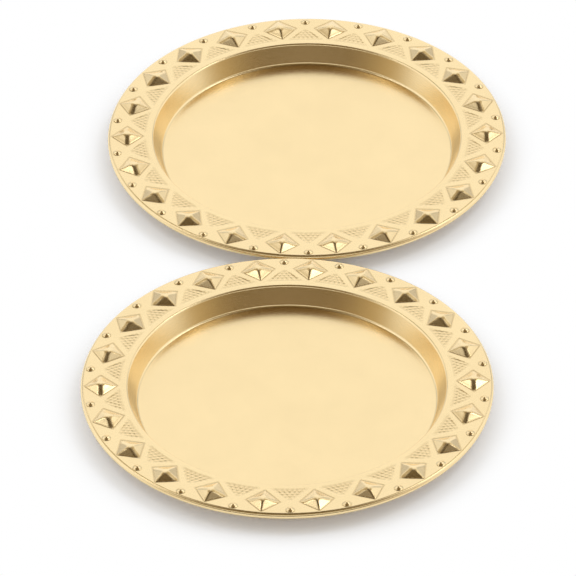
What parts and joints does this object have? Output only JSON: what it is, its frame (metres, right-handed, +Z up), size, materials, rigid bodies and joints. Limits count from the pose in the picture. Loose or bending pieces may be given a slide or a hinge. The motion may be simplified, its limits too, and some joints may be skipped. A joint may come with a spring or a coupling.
{
  "type": "candle plate",
  "caption": "Round pressed-metal candle plate set: flat wide well for pillar candles, flat rim pressed with faceted diamonds and small drops, and a curled edge.",
  "frame": {"origin": "centre of the front plate's foot, on the surface that the set stands on", "axes": "+Z up, +Y from the front plate's centre to the rear plate's centre, +X to the right seen from the front"},
  "size_m": [0.2, 0.4003, 0.0124],
  "materials": {
    "plate": "satin, pale champagne gold"
  },
  "bodies": {
    "front_plate": {"front_plate": "plate"},
    "rear_plate": {"rear_plate": "plate"}
  },
  "joints": [
    {"name": "rear_plate_lift", "type": "slide", "parent": "front_plate", "child": "rear_plate", "axis": [0, 0, 1], "range_m": [0, 0.05]}
  ]
}
